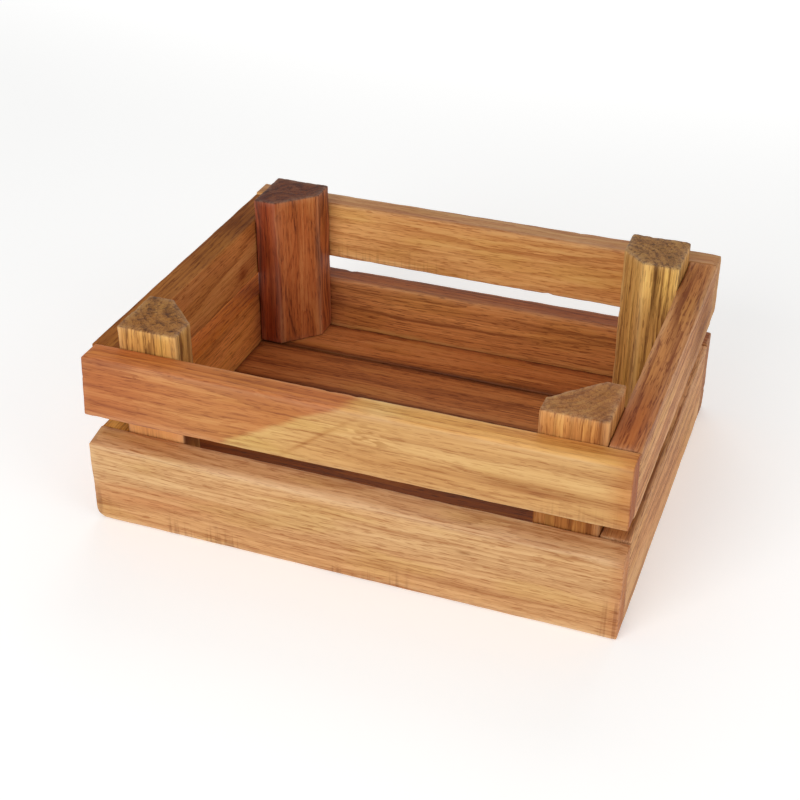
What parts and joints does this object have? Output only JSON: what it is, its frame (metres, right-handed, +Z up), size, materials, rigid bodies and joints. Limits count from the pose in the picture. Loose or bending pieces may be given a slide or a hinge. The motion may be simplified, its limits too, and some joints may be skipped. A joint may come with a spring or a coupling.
{
  "type": "shallow wooden crate",
  "caption": "Shallow open-topped wooden crate: slatted walls with finger gaps, cut-edge corner posts rising above the slats, and a floor of lengthwise boards.",
  "frame": {"origin": "middle of the footprint, on the surface that the crate stands on", "axes": "+X along the long slats to the right, +Y from front to back, +Z up"},
  "size_m": [0.4, 0.317, 0.159],
  "materials": {
    "front_slat_wood": "sawn hardwood, oiled, satin",
    "back_slat_wood": "sawn hardwood, oiled, satin",
    "end_slat_wood": "sawn hardwood, oiled, satin",
    "post_wood": "rough-sawn hardwood, oiled",
    "floor_wood": "sawn hardwood, oiled, dark",
    "brad_steel": "bright wire, dulled"
  },
  "bodies": {
    "root": {"brad_back_lower_left_1": "brad_steel", "brad_back_lower_left_2": "brad_steel", "brad_back_lower_right_1": "brad_steel", "brad_back_lower_right_2": "brad_steel", "brad_back_upper_left_1": "brad_steel", "brad_back_upper_left_2": "brad_steel", "brad_back_upper_right_1": "brad_steel", "brad_back_upper_right_2": "brad_steel", "brad_front_lower_left_1": "brad_steel", "brad_front_lower_left_2": "brad_steel", "brad_front_lower_right_1": "brad_steel", "brad_front_lower_right_2": "brad_steel", "brad_front_upper_left_1": "brad_steel", "brad_front_upper_left_2": "brad_steel", "brad_front_upper_right_1": "brad_steel", "brad_front_upper_right_2": "brad_steel", "brad_left_floor_board_1": "brad_steel", "brad_left_floor_board_2": "brad_steel", "brad_left_floor_board_3": "brad_steel", "brad_left_floor_board_4": "brad_steel", "brad_left_floor_board_5": "brad_steel", "brad_left_lower_back_1": "brad_steel", "brad_left_lower_back_2": "brad_steel", "brad_left_lower_front_1": "brad_steel", "brad_left_lower_front_2": "brad_steel", "brad_left_upper_back_1": "brad_steel", "brad_left_upper_back_2": "brad_steel", "brad_left_upper_front_1": "brad_steel", "brad_left_upper_front_2": "brad_steel", "brad_right_floor_board_1": "brad_steel", "brad_right_floor_board_2": "brad_steel", "brad_right_floor_board_3": "brad_steel", "brad_right_floor_board_4": "brad_steel", "brad_right_floor_board_5": "brad_steel", "brad_right_lower_back_1": "brad_steel", "brad_right_lower_back_2": "brad_steel", "brad_right_lower_front_1": "brad_steel", "brad_right_lower_front_2": "brad_steel", "brad_right_upper_back_1": "brad_steel", "brad_right_upper_back_2": "brad_steel", "brad_right_upper_front_1": "brad_steel", "brad_right_upper_front_2": "brad_steel", "floor_board_1": "floor_wood", "floor_board_2": "floor_wood", "floor_board_3": "floor_wood", "floor_board_4": "floor_wood", "floor_board_5": "floor_wood", "post_back_left": "post_wood", "post_back_right": "post_wood", "post_front_left": "post_wood", "post_front_right": "post_wood", "slat_back_lower": "back_slat_wood", "slat_back_upper": "back_slat_wood", "slat_front_lower": "front_slat_wood", "slat_front_upper": "front_slat_wood", "slat_left_lower": "end_slat_wood", "slat_left_upper": "end_slat_wood", "slat_right_lower": "end_slat_wood", "slat_right_upper": "end_slat_wood"}
  },
  "joints": []
}
